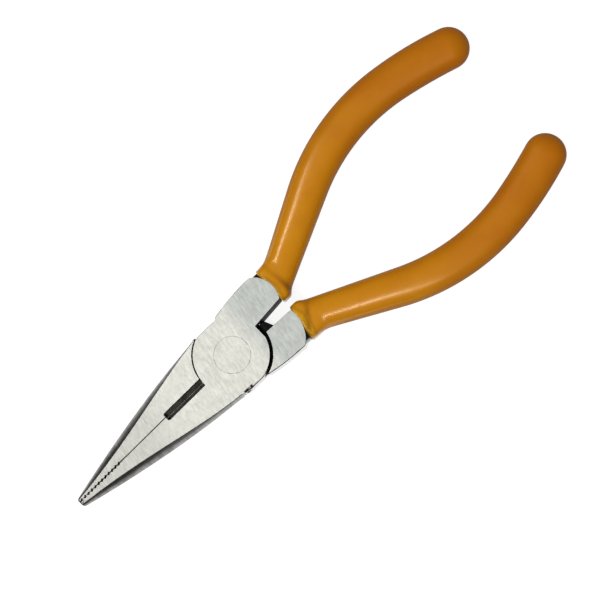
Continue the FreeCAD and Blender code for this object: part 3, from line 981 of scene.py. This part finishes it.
def face_outwards(mesh: bpy.types.Mesh, merge: float = 0.0005) -> None:
    """Closes the mesh's doubled points and points its faces outwards.

    Args:
        mesh: the mesh to repair.
        merge: distance below which two points are one, in millimetres.
    """
    shape = bmesh.new()
    shape.from_mesh(mesh)
    bmesh.ops.remove_doubles(shape, verts=shape.verts, dist=merge * MM)
    bmesh.ops.dissolve_degenerate(shape, edges=shape.edges, dist=merge * MM)
    bmesh.ops.recalc_face_normals(shape, faces=shape.faces)
    for face in shape.faces:
        face.smooth = True
    shape.to_mesh(mesh)
    shape.free()


@dataclass
class DipTree:
    """Geometry Nodes tree that lofts a dipped grip between two rails.

    The sections are superellipses: square over the tang's end and round along the
    handle. Past the rails' ends they close in a dome, before their start in a flat
    end. The top and bottom step down past the crease behind the tang, and a thin lip
    runs along the tang's ground rim. A reach along the handle is in shares of its
    length, and one beside the rim is in widths of the lip.
    """

    square_reach: Span = (0.015, 0.075)
    swell_reach: Span = (0.12, 0.5)
    lip_fade: float = 1.6
    rim_thin: Span = (0.6, 4.0)
    start_thin: float = 0.6
    start_thin_reach: float = 0.035
    # Painted shade in the crease and in the valley behind the rim's lip.
    crease_shade_strength: float = 0.7
    crease_shade_half: float = 1.1
    rim_shade_strength: float = 0.45
    rim_shade_at: float = 3.0
    rim_shade_half: float = 1.6
    merge: float = 0.001
    sizes: dict[str, float] = field(default_factory=lambda: {
        "Rings": 190, "Points Round": 64, "Front Share": 0.02, "End Share": 0.085,
        "Middle Height": 4.75, "Front Half Thickness": 4.62, "Neck Half Thickness": 4.2,
        "Body Half Thickness": 4.75, "Front Squareness": 4.5, "Body Squareness": 2.35,
        "Rim Radius": 6.4, "Lip Height": 0.16, "Lip Width": 0.35, "Crease Width": 0.8,
        "Crease Shade From": 0.0, "Crease Shade To": 1.0,
    })

    def __post_init__(self) -> None:
        """Starts the tree with its named inputs."""
        self.tree = bpy.data.node_groups.new("dip_grip", "GeometryNodeTree")
        face = self.tree.interface
        face.new_socket("Geometry", in_out="INPUT", socket_type="NodeSocketGeometry")
        for label, value in self.sizes.items():
            kind = "NodeSocketInt" if isinstance(value, int) else "NodeSocketFloat"
            face.new_socket(label, in_out="INPUT", socket_type=kind).default_value = value
        for label in ("Rim Centre", "Crease Point", "Crease Way"):
            face.new_socket(label, in_out="INPUT", socket_type="NodeSocketVector")
        face.new_socket("Vinyl", in_out="INPUT", socket_type="NodeSocketMaterial")
        face.new_socket("Geometry", in_out="OUTPUT", socket_type="NodeSocketGeometry")
        self.board = Board(self.tree)
        self.given = self.board.add("NodeGroupInput").outputs

    def start_grid(self) -> Sockets:
        """Flat grid, one unit wide: x counts the rings along the handle, y runs round.

        Returns:
            The grid, how far along the handle a point is (past 0 and 1 at the ends), and
            its turn round the section.
        """
        board, given, maths = self.board, self.given, self.board.maths
        grid = board.add("GeometryNodeMeshGrid", {
            "Size X": 1.0, "Size Y": 1.0, "Vertices X": given["Rings"], "Vertices Y": given["Points Round"],
        }).outputs["Mesh"]
        place = board.add("GeometryNodeInputPosition").outputs[0]
        spot = board.add("ShaderNodeSeparateXYZ", {0: place}).outputs
        whole = maths("ADD", maths("ADD", given["Front Share"], given["End Share"]), 1.0)
        along = maths("MULTIPLY", maths("ADD", spot["X"], 0.5), whole)
        along = maths("SUBTRACT", along, given["Front Share"])
        turn = maths("MULTIPLY", maths("ADD", spot["Y"], 0.5), math.tau)
        return {"grid": grid, "along": along, "turn": turn}

    def follow_rails(self, along: bpy.types.NodeSocket) -> tuple[bpy.types.NodeSocket, bpy.types.NodeSocket]:
        """Middle and half span of the section, from both rails at one share of their length."""
        board = self.board
        share = board.add("ShaderNodeClamp", {"Value": along}).outputs[0]
        points = []
        for index in (0, 1):
            feeds = {"Curves": self.given["Geometry"], "Factor": share, "Curve Index": index}
            rail = board.add("GeometryNodeSampleCurve", feeds, data_type="FLOAT_VECTOR", mode="FACTOR")
            points.append(rail.outputs["Position"])
        middle = board.scaled(board.vector("ADD", *points), 0.5)
        return middle, board.scaled(board.vector("SUBTRACT", *points), 0.5)

    def section(self, at: Sockets) -> tuple[bpy.types.NodeSocket, bpy.types.NodeSocket, bpy.types.NodeSocket]:
        """Superellipse section, closing in the dome and in the flat front end.

        Args:
            at: the sockets of start_grid.

        Returns:
            The point in plan, its share of the half width and its share of the half
            thickness.
        """
        board, given, maths, vector = self.board, self.given, self.board.maths, self.board.vector
        middle, span = self.follow_rails(at["along"])
        past = maths("DIVIDE", maths("SUBTRACT", at["along"], 1.0), given["End Share"])
        quarter = maths("MAXIMUM", maths("MULTIPLY", past, math.pi / 2), 0.0)
        front = maths("ADD", maths("DIVIDE", at["along"], given["Front Share"]), 1.0)
        front = board.add("ShaderNodeClamp", {"Value": front}).outputs[0]
        closing = maths("MULTIPLY", maths("COSINE", quarter), front)
        onward = vector("NORMALIZE", vector("CROSS_PRODUCT", span, (0.0, 0.0, 1.0)))
        way = board.add("ShaderNodeSeparateXYZ", {0: onward}).outputs["X"]
        onward = board.scaled(onward, maths("MULTIPLY", maths("SIGN", way), -1.0))
        dome = maths("MULTIPLY", vector("LENGTH", span), maths("SINE", quarter))
        middle = vector("ADD", middle, board.scaled(onward, dome))
        squareness = board.ramp(
            at["along"], *self.square_reach, given["Front Squareness"], given["Body Squareness"]
        )
        power = maths("DIVIDE", 2.0, squareness)
        parts = []
        for operation in ("COSINE", "SINE"):
            wave = maths(operation, at["turn"])
            size = maths("POWER", maths("ABSOLUTE", wave), power)
            parts.append(maths("MULTIPLY", maths("MULTIPLY", maths("SIGN", wave), size), closing))
        across, upward = parts
        return vector("ADD", middle, board.scaled(span, across)), across, upward

    def half_thickness(self, along: bpy.types.NodeSocket, beyond: bpy.types.NodeSocket,
                       off_rim: bpy.types.NodeSocket) -> bpy.types.NodeSocket:
        """Half thickness: the step behind the crease, the slow swell to the body, and the lip.

        Args:
            along: share of the handle's length.
            beyond: distance past the crease.
            off_rim: distance from the tang's ground rim, in widths of the lip.

        Returns:
            Half of the grip's thickness.
        """
        given, maths, ramp = self.given, self.board.maths, self.board.ramp
        start = maths("MULTIPLY", given["Crease Width"], -0.5)
        stepped = ramp(beyond, start, given["Crease Width"])
        swell = ramp(along, *self.swell_reach, given["Neck Half Thickness"], given["Body Half Thickness"])
        front = given["Front Half Thickness"]
        half = maths("ADD", front, maths("MULTIPLY", stepped, maths("SUBTRACT", swell, front)))
        lip = maths("MULTIPLY", ramp(off_rim, 0.0, self.lip_fade, 1.0, 0.0), given["Lip Height"])
        return maths("ADD", half, lip)

    def coat_marks(self, along: bpy.types.NodeSocket, across: bpy.types.NodeSocket,
                   beyond: bpy.types.NodeSocket, off_rim: bpy.types.NodeSocket) -> Sockets:
        """Where the coat is thin, and the painted shade in the crease and in the valley beside the rim, each
        from 0 to 1.

        Args:
            along: share of the handle's length.
            across: share of the half width.
            beyond: distance past the crease.
            off_rim: distance from the tang's ground rim, in widths of the lip.

        Returns:
            The marks, by the name of the attribute that keeps them.
        """
        board, given, maths, ramp = self.board, self.given, self.board.maths, self.board.ramp
        start = ramp(along, 0.0, self.start_thin_reach, self.start_thin, 0.0)
        thin = maths("MAXIMUM", ramp(off_rim, *self.rim_thin, 1.0, 0.0), start)
        # Painted shade: darker in the crease and in the valley behind the rim's lip.
        crease = board.near(beyond, given["Crease Width"], self.crease_shade_half, 0.0, self.crease_shade_strength)
        crease = maths("MULTIPLY", crease, ramp(across, given["Crease Shade From"], given["Crease Shade To"]))
        rim = board.near(off_rim, self.rim_shade_at, self.rim_shade_half, 0.0, self.rim_shade_strength)
        return {THIN_COAT: thin, CREASE_SHADE: maths("MAXIMUM", crease, rim)}

    def build(self) -> bpy.types.NodeTree:
        """Joins the parts of the tree; returns it."""
        board, given, maths, vector = self.board, self.given, self.board.maths, self.board.vector
        at = self.start_grid()
        plan, across, upward = self.section(at)
        place = board.scaled(plan, 1 / MM)
        beyond = vector("DOT_PRODUCT", vector("SUBTRACT", place, given["Crease Point"]), given["Crease Way"])
        off_rim = vector("LENGTH", vector("SUBTRACT", place, given["Rim Centre"]))
        off_rim = maths("SUBTRACT", off_rim, given["Rim Radius"])
        off_rim = maths("DIVIDE", maths("ABSOLUTE", off_rim), given["Lip Width"])
        half = self.half_thickness(at["along"], beyond, off_rim)
        height = maths("MULTIPLY_ADD", upward, half, given["Middle Height"])
        rise = board.add("ShaderNodeCombineXYZ", {"Z": maths("MULTIPLY", height, MM)}).outputs[0]
        flat = vector("MULTIPLY", plan, (1.0, 1.0, 0.0))
        # The marks are stored while the grid is still flat, because they are worked out from it.
        grid = at["grid"]
        for label, value in self.coat_marks(at["along"], across, beyond, off_rim).items():
            grid = board.add(
                "GeometryNodeStoreNamedAttribute", {"Geometry": grid, "Name": label, "Value": value},
                data_type="FLOAT", domain="POINT",
            ).outputs["Geometry"]
        for kind, feeds in (
            ("GeometryNodeSetPosition", {"Position": vector("ADD", flat, rise)}),
            ("GeometryNodeMergeByDistance", {"Distance": self.merge * MM}),
            ("GeometryNodeRealizeInstances", {}),
            ("GeometryNodeSetMaterial", {"Material": given["Vinyl"]}),
        ):
            grid = board.add(kind, {"Geometry": grid, **feeds}).outputs[0]
        board.add("NodeGroupOutput", {"Geometry": grid})
        return self.tree


# ---- studio -------------------------------------------------------------------


@dataclass
class Studio:
    """Pale floor, one soft lamp, even surroundings and the camera.

    The floor is white to the camera and in what the steel mirrors. In mirrors it glows brighter near the
    head, and dim and amber under the handles: a painted reflection of the shade there and of light off the
    vinyl.
    """

    view_centre: Span = (-21.46, 1.98)
    view_width: float = 148.15
    jaw_direction: float = 44.4
    lean: float = 5.7
    distance: float = 800.0
    sensor: float = 36.0
    floor_half: float = 2.5
    floor_drop: float = 0.01
    floor_white: float = 0.35
    floor_glow: float = 0.85
    head_glow: float = 1.1
    handle_glow: float = 0.16
    handle_tint: Colour = (1.0, 0.50, 0.12)
    glow_reach: Span = (-17.0, -24.0)
    strip_place: Stretch = (0.13, 0.0, 0.7)
    strip_size: Span = (1.5, 0.06)
    strip_radiance: float = 20.5
    sky_reach: Span = (0.0, 0.9)
    sky_light: Span = (0.12, 0.3)

    def floor_material(self) -> bpy.types.Material:
        """White to the camera, bright or dim in mirrors, and grey to light."""
        material = bpy.data.materials.new("floor_white")
        material.use_nodes = True
        material.node_tree.nodes.clear()
        board = Board(material.node_tree)
        seen = board.add("ShaderNodeLightPath").outputs
        place = board.scaled(board.add("ShaderNodeTexCoord").outputs["Object"], 1 / MM)
        ahead = board.add("ShaderNodeSeparateXYZ", {0: place}).outputs["X"]
        # Painted reflection: in mirrors the floor glows brighter near the head, and dim and amber under the
        # handles.
        glow = board.ramp(ahead, *self.glow_reach, self.head_glow, self.handle_glow)
        mirrored = board.maths("MAXIMUM", seen["Is Glossy Ray"], seen["Is Transmission Ray"])
        straight = board.maths("MAXIMUM", seen["Is Camera Ray"], board.maths("MULTIPLY", mirrored, glow))
        unseen = board.maths("SUBTRACT", 1.0, seen["Is Camera Ray"])
        amber = board.maths("MULTIPLY", board.ramp(ahead, *self.glow_reach), unseen)
        surface = board.add("ShaderNodeBsdfPrincipled", {
            "Base Color": (self.floor_white,) * 3 + (1.0,), "Roughness": 0.9, "Specular IOR Level": 0.0,
            "Emission Color": board.mixed(amber, (1.0, 1.0, 1.0), self.handle_tint),
            "Emission Strength": board.maths("MULTIPLY", straight, self.floor_glow),
        })
        board.add("ShaderNodeOutputMaterial", {"Surface": surface.outputs[0]})
        return material

    def floor(self) -> bpy.types.Object:
        """White floor just under the pliers, which keeps their shadow."""
        half = self.floor_half
        low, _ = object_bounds()
        height = low[2] - self.floor_drop * MM
        corners = [(-half, -half, height), (half, -half, height), (half, half, height), (-half, half, height)]
        mesh = bpy.data.meshes.new("floor")
        mesh.from_pydata(corners, [], [(0, 1, 2, 3)])
        mesh.materials.append(self.floor_material())
        floor = bpy.data.objects.new("floor", mesh)
        bpy.context.scene.collection.objects.link(floor)
        floor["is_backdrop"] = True
        return floor

    def strip_lamp(self) -> bpy.types.Object:
        """Long soft lamp beside the jaws' tips, aimed at the pivot; its radiance of 1 is plain white."""
        length, width = self.strip_size
        light = bpy.data.lights.new("strip", "AREA")
        light.shape = "RECTANGLE"
        light.size, light.size_y = width, length
        light.energy = self.strip_radiance * math.pi * length * width
        lamp = bpy.data.objects.new("strip", light)
        bpy.context.scene.collection.objects.link(lamp)
        lamp.location = self.strip_place
        lamp.rotation_euler = (0.0, math.atan2(lamp.location.x, lamp.location.z), 0.0)
        return lamp

    def world(self) -> None:
        """Even pale surroundings, darker towards the horizon."""
        world = bpy.data.worlds.new("studio")
        bpy.context.scene.world = world
        world.use_nodes = True
        world.node_tree.nodes.clear()
        board = Board(world.node_tree)
        toward = board.add("ShaderNodeTexCoord").outputs["Generated"]
        up = board.add("ShaderNodeSeparateXYZ", {0: toward}).outputs["Z"]
        strength = board.ramp(up, *self.sky_reach, *self.sky_light)
        back = board.add("ShaderNodeBackground", {"Color": (1.0, 1.0, 1.0, 1.0), "Strength": strength})
        board.add("ShaderNodeOutputWorld", {"Surface": back.outputs[0]})

    def camera(self) -> None:
        """Camera nearly straight above, with the jaws towards the lower left."""
        _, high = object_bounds()
        target = Vector((self.view_centre[0] * MM, self.view_centre[1] * MM, high[2]))
        lean, turn = math.radians(self.lean), math.radians(self.jaw_direction)
        toward = Vector((0.0, math.sin(lean), math.cos(lean)))
        right = Vector((-math.cos(turn), math.sin(turn), 0.0))
        right = (right - toward * right.dot(toward)).normalized()
        up = toward.cross(right)
        data = bpy.data.cameras.new("camera")
        data.sensor_width = self.sensor
        data.lens = data.sensor_width * self.distance / self.view_width
        camera = bpy.data.objects.new("camera", data)
        bpy.context.scene.collection.objects.link(camera)
        rotation = Matrix([[right[i], up[i], toward[i]] for i in range(3)])
        camera.matrix_world = Matrix.Translation(target + toward * self.distance * MM) @ rotation.to_4x4()
        bpy.context.scene.camera = camera

    def build(self) -> None:
        """Sets up the floor, the lamp, the surroundings and the camera."""
        self.floor()
        self.strip_lamp()
        self.world()
        self.camera()
        bpy.context.scene.view_settings.view_transform = "Standard"


def main() -> None:
    """Builds every piece in order."""
    logging.basicConfig(level=logging.INFO, format="%(message)s")
    effects = Effects(grain_group(), mottle_group(), ring_group())
    face = GroundSteel("ground_face").build(effects)
    wall, flank = PolishedWall().build(effects), FlankSteel().build(effects)
    oxide = BlackOxide().build(effects)
    steels = [face, wall, flank, oxide, face]
    vinyl = DippedVinyl().build(effects)
    pieces = [
        Lever("front_lever", "front_half", "front_lever_forging", "lever_steel", steels, jaw_side=1).build(),
        Lever("rear_lever", "rear_half", "rear_lever_forging", "lever_steel", steels, jaw_side=-1).build(),
        Steel("rivet", "rear_half", "pivot_rivet", "rivet_steel", steels, edge_wear=0.02).build(),
    ]
    tree = DipTree().build()
    pieces.append(Grip(
        "front_grip", "front_half", "front_dipped_grip", -1, vinyl,
        outer_start=18.2, outer_end=93.25, lobe=0.78,
        rim_centre=(-12.3, -5.1), rim_radius=6.4, crease_point=(-20.8, -3.5), crease_way=(-1.0, 0.0),
        crease_shade_reach=(0.5, -0.7),
    ).build(tree))
    pieces.append(Grip(
        "rear_grip", "rear_half", "rear_dipped_grip", 1, vinyl,
        outer_start=16.8, outer_end=91.75, lobe=1.15,
        rim_centre=(-9.9, 6.0), rim_radius=8.8, crease_point=(-20.3, 4.6), crease_way=(-0.78, 0.63),
        crease_shade_reach=(-1.2, 0.1),
    ).build(tree))
    for piece in pieces:
        log.info("%s: %d faces", piece.name, len(piece.data.polygons))
    Studio().build()


if __name__ == "__main__":
    main()
    [[list(corner) for corner in box] for box in (CAD_BOX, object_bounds())]
